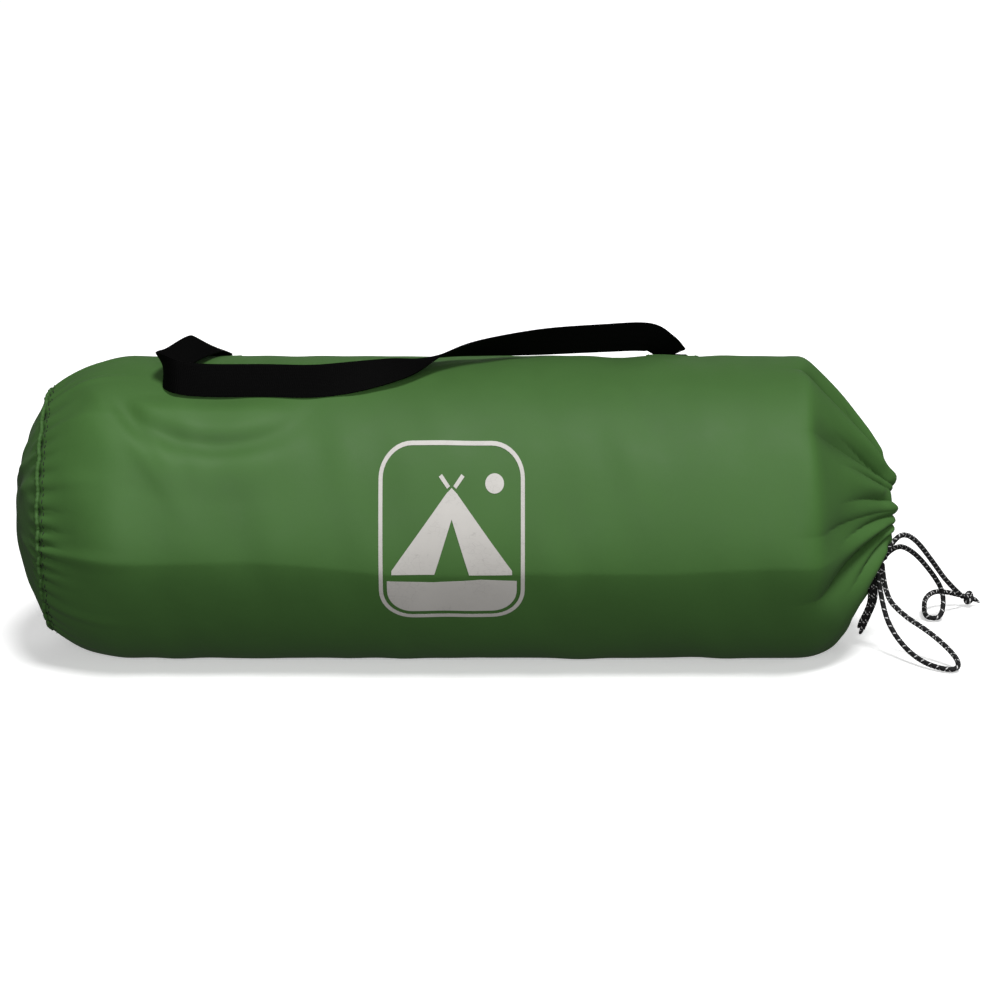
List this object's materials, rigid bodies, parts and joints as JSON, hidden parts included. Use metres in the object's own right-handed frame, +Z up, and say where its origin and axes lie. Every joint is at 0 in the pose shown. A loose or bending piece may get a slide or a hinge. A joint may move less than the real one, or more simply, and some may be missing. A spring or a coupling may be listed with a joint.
{
  "type": "packed tent in carry bag",
  "caption": "Rolled tent with folded poles, pegs and guy ropes, packed in a round drawstring carry bag with a webbing strap.",
  "frame": {"origin": "centre of the flat that the full bag settles on, on the floor", "axes": "+X along the bag from the closed base to the gathered mouth, +Y to the rear, +Z up; the printed side faces -Y"},
  "size_m": [0.7645, 0.2383, 0.2522],
  "materials": {
    "bag_cloth": "coated woven polyester, low sheen",
    "print_ink": "screen print, matte",
    "drawcord": "braided cord with pale flecks",
    "webbing": "woven webbing, matte",
    "thread": "sewing thread",
    "flysheet_cloth": "coated woven polyester",
    "inner_cloth": "breathable woven polyester",
    "small_bag_cloth": "coated woven polyester",
    "fibreglass": "pultruded rod, satin",
    "ferrule_steel": "zinc plated, satin",
    "shock_cord": "elastic cord with woven cover",
    "peg_steel": "zinc plated wire",
    "guy_cord": "braided cord",
    "runner_plastic": "moulded, matte"
  },
  "bodies": {
    "bag": {"bag_tube": "bag_cloth", "base_panel": "bag_cloth", "mouth_gather": "bag_cloth", "hem_casing": "bag_cloth", "base_seam_binding": "bag_cloth", "tube_seam": "bag_cloth", "print_badge": "print_ink", "drawcord_ring": "drawcord", "drawcord_knot": "drawcord", "cord_arc": "drawcord", "cord_slack": "drawcord", "end_knot": "drawcord", "cord_loop": "drawcord", "cord_tail_long": "drawcord", "cord_tail_short": "drawcord", "strap_patches": "bag_cloth", "strap_ends": "webbing", "strap_stitching": "thread"},
    "strap": {"carry_strap": "webbing"},
    "tent_pack": {"flysheet_roll": "flysheet_cloth", "inner_tent_roll": "inner_cloth", "roll_ties": "webbing", "pole_bag": "small_bag_cloth", "pole_segments_a": "fibreglass", "pole_segments_b": "fibreglass", "ferrules_a": "ferrule_steel", "ferrules_b": "ferrule_steel", "pole_tips_a": "ferrule_steel", "pole_tips_b": "ferrule_steel", "shock_cord_a": "shock_cord", "shock_cord_b": "shock_cord", "peg_bag": "small_bag_cloth", "pegs": "peg_steel", "guy_hanks": "guy_cord", "guy_runners": "runner_plastic"}
  },
  "joints": [
    {"name": "strap_swing", "type": "hinge", "parent": "bag", "child": "strap", "pos_m": [0, 0.038, 0.22288], "axis": [-1, 0, 0], "range_deg": [0, 100]},
    {"name": "roll_slide", "type": "slide", "parent": "bag", "child": "tent_pack", "axis": [1, 0, 0], "range_m": [0, 0.5], "deforming": ["mouth_gather", "hem_casing", "drawcord_ring", "drawcord_knot", "cord_arc", "cord_slack", "end_knot", "cord_loop", "cord_tail_long", "cord_tail_short"]}
  ]
}
